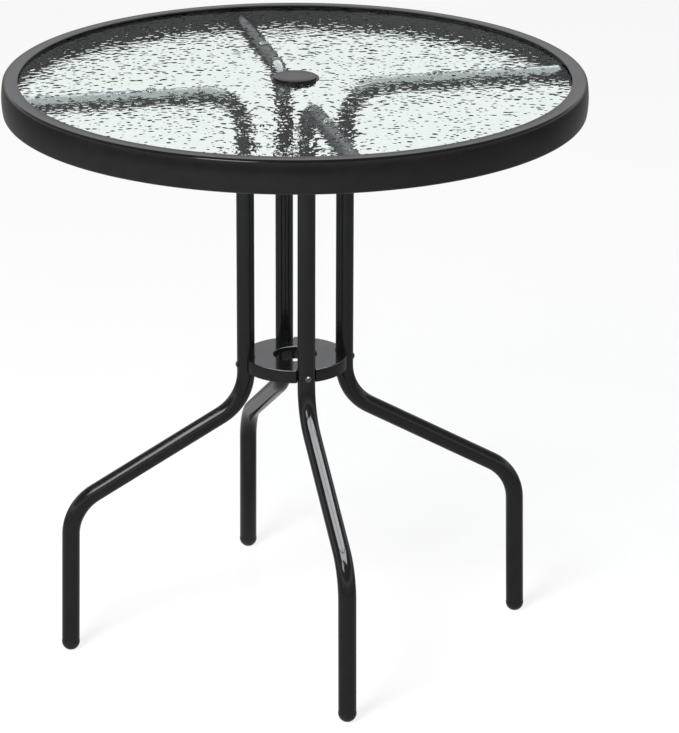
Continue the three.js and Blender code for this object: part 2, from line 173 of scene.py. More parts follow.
def piece(name, shape, material, body="table", node=None):
    """A smooth mesh that rides on a body and stands for a node."""
    vertices, faces = shape
    mesh = bpy.data.meshes.new(name)
    mesh.from_pydata(vertices, [], faces)
    mesh.validate()
    clean = bpy.data.objects.new(name, mesh)
    bpy.context.scene.collection.objects.link(clean)
    face_out(mesh)
    mesh.shade_smooth()
    mesh.set_sharp_from_angle(angle=SHARP_ANGLE)
    mesh.materials.append(material)
    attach(clean, body)
    if node:
        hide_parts(node)
    return clean


def face_out(mesh):
    """Turns the faces outward, when the closed mesh is inside out."""
    mesh.calc_loop_triangles()
    points = np.empty(len(mesh.vertices) * 3)
    mesh.vertices.foreach_get("co", points)
    points = points.reshape(-1, 3)
    corners = np.empty(len(mesh.loop_triangles) * 3, int)
    mesh.loop_triangles.foreach_get("vertices", corners)
    a, b, c = (points[corners.reshape(-1, 3)[:, k]] for k in range(3))
    if np.einsum("ij,ij->i", a, np.cross(b, c)).sum() < 0:
        mesh.flip_normals()


def on_each_leg(base, shape, material):
    """Copies of a piece made for the leg along +X, one for each leg."""
    vertices, faces = shape
    for i, leg in enumerate(LEGS):
        turn = Matrix.Rotation(i * QUARTER, 3, "Z")
        name = f"{base}_{leg}"
        piece(f"{name}_skin", (turned(vertices, turn), faces), material, node=name)


# Material nodes
class Nodes:
    """A material with its shader and short ways to add nodes to it."""

    def __init__(self, name, **sockets):
        self.material = bpy.data.materials.new(name)
        self.material.use_nodes = True
        self.tree = self.material.node_tree
        self.shader = self.tree.nodes["Principled BSDF"]
        for socket, value in sockets.items():
            self.shader.inputs[socket.replace("_", " ")].default_value = value
        self.place = self.add("ShaderNodeTexCoord").outputs["Object"]

    def add(self, kind, **settings):
        node = self.tree.nodes.new(kind)
        for key, value in settings.items():
            setattr(node, key, value)
        return node

    def link(self, source, target):
        self.tree.links.new(source, target)

    def noise(self, scale, detail=2.0, roughness=0.5, stretch=None):
        node = self.add("ShaderNodeTexNoise")
        node.inputs["Scale"].default_value = scale
        node.inputs["Detail"].default_value = detail
        node.inputs["Roughness"].default_value = roughness
        source = self.place
        if stretch:
            mapping = self.add("ShaderNodeMapping")
            mapping.inputs["Scale"].default_value = stretch
            self.link(source, mapping.inputs["Vector"])
            source = mapping.outputs["Vector"]
        self.link(source, node.inputs["Vector"])
        return node.outputs["Fac"]

    def spread(self, source, low, high, start=0.3, end=0.7):
        """Maps a texture's values to a range."""
        node = self.add("ShaderNodeMapRange")
        node.inputs["From Min"].default_value = start
        node.inputs["From Max"].default_value = end
        node.inputs["To Min"].default_value = low
        node.inputs["To Max"].default_value = high
        self.link(source, node.inputs["Value"])
        return node.outputs["Result"]

    def colours(self, source, first, second, start=0.3, end=0.7):
        """A colour between two, led by a texture."""
        node = self.add("ShaderNodeValToRGB")
        node.color_ramp.elements[0].position = start
        node.color_ramp.elements[0].color = (*first, 1)
        node.color_ramp.elements[1].position = end
        node.color_ramp.elements[1].color = (*second, 1)
        self.link(source, node.inputs["Fac"])
        return node.outputs["Color"]

    def bump(self, source, distance, strength=1.0, under=None):
        node = self.add("ShaderNodeBump")
        node.inputs["Distance"].default_value = distance
        node.inputs["Strength"].default_value = strength
        self.link(source, node.inputs["Height"])
        if under:
            self.link(under, node.inputs["Normal"])
        return node.outputs["Normal"]


def powder_coat():
    """Glossy black powder coat: slight orange peel, faint waves in gloss and tone."""
    n = Nodes("powder_coat", Metallic=0.0, Specular_IOR_Level=0.5)
    n.link(n.colours(n.noise(60, 3), (0.0042, 0.0042, 0.0048), (0.0064, 0.0064, 0.0070)),
           n.shader.inputs["Base Color"])
    n.link(n.spread(n.noise(35, 4), 0.11, 0.15), n.shader.inputs["Roughness"])
    peel = n.bump(n.noise(620, 2), 0.005 * MM)
    n.link(n.bump(n.noise(130, 1), 0.006 * MM, under=peel), n.shader.inputs["Normal"])
    return n.material


def moulded_plastic():
    """Black moulded plastic with a fine grain."""
    n = Nodes("moulded_plastic", Specular_IOR_Level=0.5)
    n.link(n.colours(n.noise(90, 3), (0.006, 0.006, 0.0064), (0.010, 0.010, 0.0104)),
           n.shader.inputs["Base Color"])
    n.link(n.spread(n.noise(300, 3), 0.16, 0.22), n.shader.inputs["Roughness"])
    n.link(n.bump(n.noise(1500, 3), 0.006 * MM), n.shader.inputs["Normal"])
    return n.material


def soft_rubber():
    """Matt black rubber with extrusion lines along its length."""
    n = Nodes("soft_rubber", Specular_IOR_Level=0.3)
    n.link(n.colours(n.noise(120, 4), (0.010, 0.010, 0.0105), (0.02, 0.02, 0.0205)),
           n.shader.inputs["Base Color"])
    n.link(n.spread(n.noise(200, 3), 0.6, 0.8), n.shader.inputs["Roughness"])
    n.link(n.bump(n.noise(900, 3, stretch=(1, 1, 6)), 0.03 * MM), n.shader.inputs["Normal"])
    return n.material


def black_steel():
    """Black coated screws: smooth, with a cloudy coat."""
    n = Nodes("black_steel", Metallic=0.8)
    n.link(n.colours(n.noise(500, 3), (0.13, 0.13, 0.132), (0.19, 0.19, 0.19)),
           n.shader.inputs["Base Color"])
    n.link(n.spread(n.noise(700, 3), 0.09, 0.14), n.shader.inputs["Roughness"])
    n.link(n.bump(n.noise(1800, 2), 0.01 * MM), n.shader.inputs["Normal"])
    return n.material


def zinc_steel():
    """Bright zinc plate with clouds of dull and bright."""
    n = Nodes("zinc_steel", Metallic=1.0)
    n.link(n.colours(n.noise(400, 4), (0.42, 0.43, 0.44), (0.60, 0.61, 0.62)),
           n.shader.inputs["Base Color"])
    n.link(n.spread(n.noise(900, 4), 0.22, 0.42), n.shader.inputs["Roughness"])
    n.link(n.bump(n.noise(2500, 3), 0.01 * MM), n.shader.inputs["Normal"])
    return n.material


def clear_vinyl():
    """Clear soft vinyl, slightly clouded."""
    n = Nodes("clear_vinyl", Transmission_Weight=0.78, IOR=1.45)
    n.link(n.colours(n.noise(300, 3), (0.54, 0.57, 0.56), (0.64, 0.67, 0.66)),
           n.shader.inputs["Base Color"])
    n.link(n.spread(n.noise(500, 3), 0.22, 0.4), n.shader.inputs["Roughness"])
    n.link(n.bump(n.noise(900, 2), 0.02 * MM), n.shader.inputs["Normal"])
    return n.material


GLASS_IOR = 1.5
GLASS_GLOSS = 0.18  # share of the glass's own mirror gloss
GLASS_HAZE = 0.03  # roughness where it is least clear
SKIN_DEPTH = 0.02 * MM  # fine ripple between the dents
SHADE_TINT = (0.90, 0.985, 0.96)  # of the light that lamps send through it


def patterned_glass():
    """Tempered glass with a pale green tint: mostly what it refracts, with a weak gloss over it."""
    n = Nodes("patterned_glass", Transmission_Weight=1.0, IOR=GLASS_IOR)
    tint = n.colours(n.noise(25, 2), (0.948, 0.990, 0.976), (0.962, 0.998, 0.987))
    haze = n.spread(n.noise(150, 2), 0.0, GLASS_HAZE)
    skin = n.bump(n.noise(260, 2), SKIN_DEPTH)
    clear = n.add("ShaderNodeBsdfRefraction")
    clear.inputs["IOR"].default_value = GLASS_IOR
    for shader, colour in ((n.shader, "Base Color"), (clear, "Color")):
        n.link(tint, shader.inputs[colour])
        n.link(haze, shader.inputs["Roughness"])
        n.link(skin, shader.inputs["Normal"])
    body = n.add("ShaderNodeMixShader")
    body.inputs["Fac"].default_value = GLASS_GLOSS
    n.link(clear.outputs["BSDF"], body.inputs[1])
    n.link(n.shader.outputs["BSDF"], body.inputs[2])
    # lamps reach through the glass and take its tint
    shade = n.add("ShaderNodeBsdfTransparent")
    shade.inputs["Color"].default_value = (*SHADE_TINT, 1)
    path = n.add("ShaderNodeLightPath")
    whole = n.add("ShaderNodeMixShader")
    n.link(path.outputs["Is Shadow Ray"], whole.inputs["Fac"])
    n.link(body.outputs["Shader"], whole.inputs[1])
    n.link(shade.outputs["BSDF"], whole.inputs[2])
    n.link(whole.outputs["Shader"], n.tree.nodes["Material Output"].inputs["Surface"])
    return n.material


COAT = powder_coat()
PLASTIC = moulded_plastic()
RUBBER = soft_rubber()
SCREW = black_steel()
ZINC = zinc_steel()
VINYL = clear_vinyl()
GLASS = patterned_glass()


# Hoop
HOOP_RADIUS = hoop_high.x
HOOP_TOP = hoop_high.z
HOOP_BOTTOM = hoop_low.z
HOOP_MIDDLE = (HOOP_TOP + HOOP_BOTTOM) / 2
SIDE_CENTRE = HOOP_RADIUS - HOOP_SIDE_CURVE
CORNER_TURN = math.asin((HOOP_TOP - HOOP_CORNER - HOOP_MIDDLE) / (HOOP_SIDE_CURVE - HOOP_CORNER))
CORNER_CENTRE = SIDE_CENTRE + (HOOP_SIDE_CURVE - HOOP_CORNER) * math.cos(CORNER_TURN)
HOOP_STEPS = 288
OUTER_STEPS = (10, 12)  # in a corner and in the side of the section
INNER_STEPS = (6, 8)
SHEET_EDGE = 0.5 * MM


def hoop_side(offset, corner_steps, side_steps):
    """The section's side with both corners, from above to below, moved into the sheet by the offset."""
    top, bottom = HOOP_TOP - HOOP_CORNER, HOOP_BOTTOM + HOOP_CORNER
    return [
        *arc(CORNER_CENTRE, top, HOOP_CORNER - offset, QUARTER, CORNER_TURN, corner_steps),
        *arc(SIDE_CENTRE, HOOP_MIDDLE, HOOP_SIDE_CURVE - offset, CORNER_TURN, -CORNER_TURN,
             side_steps)[1:-1],
        *arc(CORNER_CENTRE, bottom, HOOP_CORNER - offset, -CORNER_TURN, -QUARTER, corner_steps),
    ]


def sheet_end(x, top, bottom):
    """The rounded cut edge of a flat sheet that points to the axis, from below to above."""
    inside = x + SHEET_EDGE
    return [
        *arc(inside, bottom + SHEET_EDGE, SHEET_EDGE, 3 * QUARTER, math.pi, EDGE_STEPS),
        *arc(inside, top - SHEET_EDGE, SHEET_EDGE, math.pi, QUARTER, EDGE_STEPS),
    ]


def make_hoop():
    flange_edge = HOOP_RADIUS - HOOP_REACH
    lip_edge = CORNER_CENTRE - HOOP_LIP
    section = [
        *sheet_end(flange_edge, HOOP_TOP, HOOP_TOP - HOOP_SHEET),
        *hoop_side(0, *OUTER_STEPS),
        *reversed(sheet_end(lip_edge, HOOP_BOTTOM + HOOP_SHEET, HOOP_BOTTOM)),
        *reversed(hoop_side(HOOP_SHEET, *INNER_STEPS)),
    ]
    piece("rim_hoop_skin", lathe(section, HOOP_STEPS, True), COAT, node="rim_hoop")


# Glass, patterned on its upper face
GLASS_RADIUS = glass_high.x
GLASS_TOP = glass_high.z
GLASS_BOTTOM = glass_low.z
GLASS_ARRIS = 0.8 * MM
DENT_SPACING = 4.5 * MM
DENT_DEPTH = 0.72 * MM  # of the deepest ones, which are rare
DENT_REACH = (0.24, 0.46)  # radius of a dent, least and most, as a share of the spacing
DENT_SHIFT = 0.45  # most that a dent lies off its place, as a share of the spacing
DENT_FAINT = 0.2  # part of the strength that is spread evenly; the rest is rare
DENT_RARITY = 6
DENT_SEED = 7
MARGIN = 2.5  # spacings that the field of dents reaches past the glass
DENT_EDGE = 8 * MM  # the pattern fades out over this width at both edges
PATCH = 4  # spacings across a patch of the same strength
PATCH_LOSS = 0.47  # what the weakest patches lose
RING_SPACING = 1.1 * MM
HOLE_SEGMENTS = 192


def dent_strengths(random, cells, reach):
    """Depth of each dent as a share: most are faint, and weak patches run through them."""
    chance = random.uniform(0.0, 1.0, (cells, cells))
    tall = (DENT_FAINT * chance + (1 - DENT_FAINT) * chance**DENT_RARITY) * reach / DENT_REACH[1]
    coarse = random.uniform(0.0, 1.0, (cells // PATCH + 3, cells // PATCH + 3))
    place = np.arange(cells) / PATCH
    start = place.astype(int)
    share = place - start
    along = coarse[start] * (1 - share[:, None]) + coarse[start + 1] * share[:, None]
    patch = along[:, start] * (1 - share) + along[:, start + 1] * share
    return tall * (1 - PATCH_LOSS * (1 - patch))


def dent_depth(x, y):
    """Depth of the pattern of round dents at points in metres, as a share of the deepest."""
    random = np.random.default_rng(DENT_SEED)
    cells = int(2 * GLASS_RADIUS / DENT_SPACING + 2 * MARGIN) + 1
    shift = random.uniform(-DENT_SHIFT, DENT_SHIFT, (cells, cells, 2))
    reach = random.uniform(*DENT_REACH, (cells, cells))
    tall = dent_strengths(random, cells, reach)
    gx = (x + GLASS_RADIUS) / DENT_SPACING + MARGIN
    gy = (y + GLASS_RADIUS) / DENT_SPACING + MARGIN
    cx, cy = np.floor(gx).astype(int), np.floor(gy).astype(int)
    total = np.zeros_like(x)
    for dx in (-1, 0, 1):
        for dy in (-1, 0, 1):
            i, j = cx + dx, cy + dy
            square = (gx - i - 0.5 - shift[i, j, 0]) ** 2 + (gy - j - 0.5 - shift[i, j, 1]) ** 2
            total += tall[i, j] * np.exp(-square / (2 * reach[i, j] ** 2))
    return np.clip(total, 0.0, 1.0)


def glass_rings():
    """Radius and number of segments of each ring of the patterned face, from the hole out."""
    rings = []
    radius = GLASS_HOLE
    segments = HOLE_SEGMENTS
    while radius < GLASS_RADIUS - GLASS_ARRIS - RING_SPACING / 2:
        if 2 * math.pi * radius / segments > RING_SPACING:
            segments *= 2
        rings.append((radius, segments))
        radius += RING_SPACING
    rings.append((GLASS_RADIUS - GLASS_ARRIS, segments))
    return rings


def make_glass():
    """A disc with a hole: rings of vertices, first over the patterned face, then down the edge."""
    vertices, faces, starts = [], [], []

    def ring(radius, segments, height):
        starts.append((len(vertices), segments))
        turns = np.arange(segments) * (2 * math.pi / segments)
        x, y = radius * np.cos(turns), radius * np.sin(turns)
        z = height(x, y) if callable(height) else np.full(segments, height)
        vertices.extend(zip(x.tolist(), y.tolist(), z.tolist()))

    def patterned(x, y):
        radius = np.hypot(x, y)
        room = np.minimum(radius - GLASS_HOLE, GLASS_RADIUS - GLASS_ARRIS - radius)
        fade = np.clip(room / DENT_EDGE, 0, 1)
        return GLASS_TOP - DENT_DEPTH * fade * dent_depth(x, y)

    def bridge(a, b):
        """Faces between two rings; the second has as many segments or twice as many."""
        (first, n), (second, m) = starts[a], starts[b]
        for i in range(n):
            j = (i + 1) % n
            if m == n:
                faces.append((first + i, first + j, second + j, second + i))
            else:
                k, middle, last = 2 * i, 2 * i + 1, (2 * i + 2) % m
                faces.append((first + i, second + middle, second + k))
                faces.append((first + i, first + j, second + middle))
                faces.append((first + j, second + last, second + middle))

    rings = glass_rings()
    for radius, segments in rings:
        ring(radius, segments, patterned)
    outer = rings[-1][1]
    ring(GLASS_RADIUS, outer, GLASS_TOP - GLASS_ARRIS)
    ring(GLASS_RADIUS, outer, GLASS_BOTTOM + GLASS_ARRIS)
    ring(GLASS_RADIUS - GLASS_ARRIS, outer, GLASS_BOTTOM)
    for i in range(len(starts) - 1):
        bridge(i, i + 1)
    # the flat face below, from the hole out
    low_edge = len(starts) - 1
    ring(GLASS_HOLE, HOLE_SEGMENTS, GLASS_BOTTOM)
    hole_low = len(starts) - 1
    (edge_start, edge_count), (hole_start, hole_count) = starts[low_edge], starts[hole_low]
    share = edge_count // hole_count
    for i in range(hole_count):
        j = (i + 1) % hole_count
        fan = [edge_start + (i * share + k) % edge_count for k in range(share + 1)]
        faces.append((hole_start + i, *fan, hole_start + j))
    top_start = starts[0][0]
    for i in range(hole_count):
        j = (i + 1) % hole_count
        faces.append((top_start + i, hole_start + i, hole_start + j, top_start + j))
    glass = piece("glass_panel_skin", (vertices, faces), GLASS, node="glass_panel")
    glass.visible_glossy = False


# Soft channel on the edge of the glass
def make_trim():
    outer = trim_high.x
    top, bottom = trim_high.z, trim_low.z
    leg_edge = GLASS_RADIUS - TRIM_COVER
    edge = TRIM_WALL / 2
    leg_steps, corner_steps = 6, 3
    section = [
        *arc(leg_edge + edge, top - edge, edge, 3 * QUARTER, QUARTER, leg_steps),
        *arc(outer - edge, top - edge, edge, QUARTER, 0, corner_steps),
        *arc(outer - edge, bottom + edge, edge, 0, -QUARTER, corner_steps),
        *arc(leg_edge + edge, bottom + edge, edge, 3 * QUARTER, QUARTER, leg_steps),
        (outer - TRIM_WALL, bottom + TRIM_WALL),
        (outer - TRIM_WALL, top - TRIM_WALL),
    ]
    piece("glass_trim_skin", lathe(section, HOOP_STEPS, True), RUBBER,
          node="glass_trim")


# Ring and cap in the umbrella hole
RING_STEPS = 96
MOULDED_EDGE = 0.5 * MM


def make_ring():
    flange = ring_high.x
    sleeve = GLASS_HOLE - GAP
    bore = sleeve - RING_WALL
    top, bottom = ring_high.z, ring_low.z
    under = top - RING_FLANGE
    e = MOULDED_EDGE
    section = [
        *arc(bore + e, top - e, e, math.pi, QUARTER, EDGE_STEPS),
        *arc(flange - e, top - e, e, QUARTER, 0, EDGE_STEPS),
        (flange, under),
        (sleeve, under),
        *arc(sleeve - e, bottom + e, e, 0, -QUARTER, EDGE_STEPS),
        *arc(bore + e, bottom + e, e, -QUARTER, -math.pi, EDGE_STEPS),
    ]
    piece("hole_ring_skin", lathe(section, RING_STEPS, True), PLASTIC,
          node="hole_ring")


def make_cap():
    lid = cap_high.x
    plug = GLASS_HOLE - GAP - RING_WALL - GAP
    top, bottom = cap_high.z, cap_low.z
    under = top - CAP_LID
    inside = plug - CAP_WALL
    e = MOULDED_EDGE
    section = [
        (0, top),
        (lid / 2, top),
        *arc(lid - e, top - e, e, QUARTER, 0, EDGE_STEPS),
        (lid, under),
        (plug, under),
        *arc(plug - e, bottom + e, e, 0, -QUARTER, EDGE_STEPS),
        *arc(inside + e, bottom + e, e, -QUARTER, -math.pi, EDGE_STEPS),
        (inside, under),
        (0, under),
    ]
    piece("hole_cap_skin", lathe(section, RING_STEPS, False), PLASTIC,
          body="cap", node="hole_cap")


# Legs
TUBE_SIDES = 40
BEND_STEPS = 20
DOME_STEPS = 20
FOOT_SIDES = 48


def bend(x, z, radius, heading, next_heading):
    """Stations (x, z, heading) round a bend about a centre."""
    side = math.copysign(1, next_heading - heading)
    turns = np.linspace(heading, next_heading, BEND_STEPS + 1)
    spokes = turns - side * QUARTER
    return [(x + radius * math.cos(s), z + radius * math.sin(s), t) for s, t in zip(spokes, turns)]


def bend_centre(x, z, radius, heading, next_heading):
    side = math.copysign(1, next_heading - heading)
    reach = radius / math.cos((next_heading - heading) / 2)
    middle = (heading + next_heading) / 2 + side * QUARTER
    return x + reach * math.cos(middle), z + reach * math.sin(middle)


def foot_heights():
    """Height of the dome's centre, of the collar's top and of the tube's end along the foot."""
    centre = TUBE_RADIUS + FOOT_BULGE - FOOT_FLAT
    return centre, centre + FOOT_COLLAR, centre + FOOT_COLLAR + GAP


def leg_stations():
    """The centre line of the leg along +X, from the arm's end to the foot."""
    inward = math.pi
    down = math.pi + QUARTER
    outward_down = 2 * math.pi - DIAGONAL_FALL
    foot_down = down + FOOT_LEAN
    knee_height = plate_low.z - KNEE_DROP - KNEE_BEND * math.tan((outward_down - down) / 2)
    fall, lean = math.tan(DIAGONAL_FALL), math.tan(FOOT_LEAN)
    run = FOOT_RADIUS - COLUMN_RADIUS
    ankle_height = (knee_height - run * fall) / (1 - lean * fall)
    ankle_radius = FOOT_RADIUS - ankle_height * lean
    knee = bend_centre(COLUMN_RADIUS, knee_height, KNEE_BEND, down, outward_down)
    ankle = bend_centre(ankle_radius, ankle_height, FOOT_BEND, outward_down, foot_down)
    end = foot_heights()[2]
    return [
        (ARM_END, ARM_HEIGHT, inward),
        *bend(COLUMN_RADIUS + TOP_BEND, ARM_HEIGHT - TOP_BEND, TOP_BEND, inward, down),
        *bend(*knee, KNEE_BEND, down, outward_down),
        *bend(*ankle, FOOT_BEND, outward_down, foot_down),
        (FOOT_RADIUS - end * math.sin(FOOT_LEAN), end * math.cos(FOOT_LEAN), foot_down),
    ]


def tube_rows(stations, radius, sides):
    """A ring of points round each station."""
    rows = []
    for x, z, heading in stations:
        across = (-math.sin(heading), math.cos(heading))
        turns = [2 * math.pi * k / sides for k in range(sides)]
        rows.append([(x + radius * math.sin(a) * across[0], radius * math.cos(a),
                      z + radius * math.sin(a) * across[1]) for a in turns])
    return rows


def make_legs():
    stations = leg_stations()
    outside = tube_rows(stations, TUBE_RADIUS, TUBE_SIDES)
    inside = tube_rows(stations, TUBE_RADIUS - TUBE_WALL, TUBE_SIDES)
    shape = grid([*outside, *reversed(inside)], True, True)
    on_each_leg("leg_tube", shape, COAT)


def make_feet():
    centre, collar, _ = foot_heights()
    dome = TUBE_RADIUS + FOOT_BULGE
    shank = TUBE_RADIUS - TUBE_WALL - 2 * GAP
    top = collar + FOOT_SHANK
    e = FOOT_BULGE
    section = [
        *arc(0, centre, dome, -QUARTER, 0, DOME_STEPS),
        *arc(dome - e, collar - e, e, 0, QUARTER, EDGE_STEPS),
        (shank, collar),
        *arc(shank - e, top - e, e, 0, QUARTER, EDGE_STEPS),
        (shank - FOOT_WALL, top),
        (shank - FOOT_WALL, collar),
        (0, collar),
    ]
    section[0] = (0, centre - dome)
    vertices, faces = lathe(section, FOOT_SIDES, False)
    lean = Matrix.Rotation(-FOOT_LEAN, 3, "Y")
    leaned = [(v.x + FOOT_RADIUS, v.y, max(v.z, 0.0)) for v in (lean @ Vector(p) for p in vertices)]
    on_each_leg("foot_cap", (leaned, faces), PLASTIC)


# Ring plate
PLATE_TOP = plate_high.z
PLATE_BOTTOM = plate_low.z
RIM_STEPS = 14
SHOULDER_STEPS = 8
SADDLE_STEPS = 20


def saddle_quarter(azimuth, offset):
    """A quarter of the plate's outline, centred on a tube, moved into the metal by the offset."""
    shoulder_ring = PLATE_RADIUS - PLATE_SHOULDER
    reach = CRADLE_RADIUS + PLATE_SHOULDER
    turn = math.acos((shoulder_ring**2 + COLUMN_RADIUS**2 - reach**2)
                     / (2 * shoulder_ring * COLUMN_RADIUS))
    lean = math.atan2(shoulder_ring * math.sin(turn), COLUMN_RADIUS - shoulder_ring * math.cos(turn))
    tube = (COLUMN_RADIUS * math.cos(azimuth), COLUMN_RADIUS * math.sin(azimuth))
    low = (shoulder_ring * math.cos(azimuth - turn), shoulder_ring * math.sin(azimuth - turn))
    high = (shoulder_ring * math.cos(azimuth + turn), shoulder_ring * math.sin(azimuth + turn))
    inner = PLATE_SHOULDER - offset
    return [
        *arc(0, 0, PLATE_RADIUS - offset, azimuth - QUARTER / 2, azimuth - turn, RIM_STEPS),
        *arc(*low, inner, azimuth - turn, azimuth + lean, SHOULDER_STEPS)[1:],
        *arc(*tube, CRADLE_RADIUS + offset, azimuth + lean + math.pi, azimuth - lean + math.pi,
             SADDLE_STEPS)[1:],
        *arc(*high, inner, azimuth - lean, azimuth + turn, SHOULDER_STEPS)[1:],
        *arc(0, 0, PLATE_RADIUS - offset, azimuth + turn, azimuth + QUARTER / 2, RIM_STEPS)[1:-1],
    ]


def plate_outline(offset, height):
    return [(x, y, height) for i in range(4) for x, y in saddle_quarter(i * QUARTER, offset)]


def make_plate():
    """The pressed sheet as rows round the plate, from the collar's foot to the flange's foot."""
    azimuths = [math.atan2(y, x) for x, y, _ in plate_outline(0, 0)]

    def circle(radius, height):
        return [(radius * math.cos(a), radius * math.sin(a), height) for a in azimuths]

    edge, sheet = PLATE_EDGE, PLATE_SHEET
    cut = sheet / 4
    under = PLATE_TOP - sheet
    rows = []
    # hole collar, outer face of the pressing
    rows += [circle(PLATE_HOLE + cut, PLATE_BOTTOM), circle(PLATE_HOLE, PLATE_BOTTOM + cut)]
    for r, z in arc(PLATE_HOLE + edge, PLATE_TOP - edge, edge, math.pi, QUARTER, EDGE_STEPS):
        rows.append(circle(r, z))
    # flat top face out to the rounded edge of the flange
    rows += [circle(PLATE_HOLE + edge + cut, PLATE_TOP), plate_outline(edge + cut, PLATE_TOP)]
    for a in np.linspace(QUARTER, 0, EDGE_STEPS + 1):
        rows.append(plate_outline(edge * (1 - math.cos(a)), PLATE_TOP - edge * (1 - math.sin(a))))
    rows += [plate_outline(0, PLATE_BOTTOM + cut), plate_outline(cut, PLATE_BOTTOM)]
    # back through the channel under the plate
    rows += [plate_outline(sheet, PLATE_BOTTOM), plate_outline(sheet, under)]
    rows += [circle(PLATE_HOLE + sheet, under), circle(PLATE_HOLE + sheet, PLATE_BOTTOM)]
    piece("ring_plate_skin", grid(rows, True, True), COAT, node="ring_plate")


# Fasteners, made on Z with the head's flat at height zero and the head below
PIN_STEPS = 36
THREAD_PITCH = 0.8 * MM
THREAD_DEPTH = 0.32 * MM
THREAD_ROWS = 5  # in a pitch
DOME_ROWS = 8
SOCKET_FLOOR = 0.35  # height of the socket's floor as a share of its mouth's
BOLT_BRIM = 0.35 * MM
BOLT_THREAD = 7 * MM
SCREW_THREAD = 8 * MM
NUT_FACE = 0.97  # share of the flats that the round face takes
SIXTH = math.pi / 3


def hexagon(flats, angle):
    """Radius of a hexagon at an angle."""
    around = (angle + SIXTH / 2) % SIXTH - SIXTH / 2
    return flats / 2 / math.cos(around)


def socket_screw(length, thread_from, shank, head, head_height, socket, brim=0.0):
    """A head with a hexagon socket and a shank with a thread on its end.

    The head is a dome, or with a brim a cone that narrows to a flat top.
    """
    radius = head / 2
    curve = (radius**2 + head_height**2) / (2 * head_height)
    half = math.asin(radius / curve)
    mouth = socket / 2 / math.cos(SIXTH / 2)
    start = math.asin(mouth / curve)
    centre = curve - head_height
    turns = [2 * math.pi * k / PIN_STEPS for k in range(PIN_STEPS)]

    def row(radius_at, height):
        return [(radius_at(a) * math.cos(a), radius_at(a) * math.sin(a), height) for a in turns]

    mouth_height = -head_height if brim else centre - curve * math.cos(start)
    depth = mouth_height * SOCKET_FLOOR
    rows = [row(lambda _: socket / 8, depth)]
    rows.append(row(lambda a: hexagon(socket, a), depth))
    rows.append(row(lambda a: hexagon(socket, a), mouth_height))
    if brim:
        foot = radius - 2 * brim
        rows.append(row(lambda _: foot - (head_height - brim), -head_height))
        rows.append(row(lambda _: foot, -brim))
        rows.append(row(lambda _: radius - brim / 3, -brim))
        rows.append(row(lambda _: radius, -brim * 2 / 3))
    else:
        for a in np.linspace(start * 1.06, half, DOME_ROWS):
            rows.append(row(lambda _, r=curve * math.sin(a): r, centre - curve * math.cos(a)))
    rows.append(row(lambda _: head / 2 - GAP / 2, 0.0))
    rows.append(row(lambda _: shank / 2, 0.0))
    rows.append(row(lambda _: shank / 2, thread_from))
    step = THREAD_PITCH / THREAD_ROWS
    heights = np.arange(thread_from + step, length - THREAD_DEPTH, step)
    for height in heights:
        rows.append(row(lambda a, h=height: shank / 2 - THREAD_DEPTH * thread(h, a), height))
    rows.append(row(lambda _: shank / 2 - THREAD_DEPTH, length))
    vertices, faces = grid(rows, True, False)
    faces.append(tuple(range(PIN_STEPS)))
    last = len(vertices) - PIN_STEPS
    faces.append(tuple(reversed(range(last, last + PIN_STEPS))))
    return vertices, faces


def thread(height, angle):
    """Depth of the thread's groove, from 0 on the crest to 1 in the root."""
    share = (height / THREAD_PITCH - angle / (2 * math.pi)) % 1.0
    return 1 - abs(2 * share - 1)


def hex_nut(flats, height, bore):
    """A chamfered nut that stands on height zero."""
    corner = flats / 2 / math.cos(SIXTH / 2)
    chamfer = (corner - flats / 2) * math.tan(math.radians(30))
    turns = [2 * math.pi * k / PIN_STEPS for k in range(PIN_STEPS)]

    def circle(radius, z):
        return [(radius * math.cos(a), radius * math.sin(a), z) for a in turns]

    def sides(level, sign):
        slope = chamfer / (corner - flats / 2)
        points = []
        for a in turns:
            r = hexagon(flats, a)
            points.append((r * math.cos(a), r * math.sin(a), level + sign * (r - flats / 2) * slope))
        return points

    face = flats / 2 * NUT_FACE
    rows = [
        circle(bore + GAP, 0.0),
        circle(face, 0.0),
        sides(GAP / 3, 1),
        sides(height - GAP / 3, -1),
        circle(face, height),
        circle(bore + GAP, height),
        circle(bore, height - GAP),
        circle(bore, GAP),
    ]
    return grid(rows, True, True)


def laid(shape, x, z, turn):
    """A fastener turned about Y and put at its place on the leg along +X."""
    vertices, faces = shape
    matrix = Matrix.Rotation(turn, 3, "Y")
    return [tuple(matrix @ Vector(v) + Vector((x, 0, z))) for v in vertices], faces


def make_fasteners():
    bolt_low, bolt_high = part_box("plate_bolt_right")
    nut_low, nut_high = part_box("plate_nut_right")
    height = PLATE_TOP - BOLT_DROP
    head_face = bolt_high.x - PLATE_BOLT["head_height"]
    length = head_face - bolt_low.x
    bolt = socket_screw(length, length - BOLT_THREAD, **PLATE_BOLT, brim=BOLT_BRIM)
    on_each_leg("plate_bolt", laid(bolt, head_face, height, -QUARTER), SCREW)
    nut = hex_nut(PLATE_NUT_FLATS, nut_high.x - nut_low.x, PLATE_BOLT["shank"] / 2 + GAP)
    on_each_leg("plate_nut", laid(nut, nut_high.x, height, -QUARTER), ZINC)

    screw_low, screw_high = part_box("rim_screw_right")
    nut_low, nut_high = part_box("rim_nut_right")
    place = (screw_low.x + screw_high.x) / 2
    face = screw_low.z + ARM_SCREW["head_height"]
    length = screw_high.z - face
    screw = socket_screw(length, length - SCREW_THREAD, **ARM_SCREW)
    on_each_leg("rim_screw", laid(screw, place, face, 0), SCREW)
    nut = hex_nut(ARM_NUT_FLATS, nut_high.z - nut_low.z, ARM_SCREW["shank"] / 2 + GAP)
    on_each_leg("rim_nut", laid(nut, place, nut_low.z, 0), ZINC)


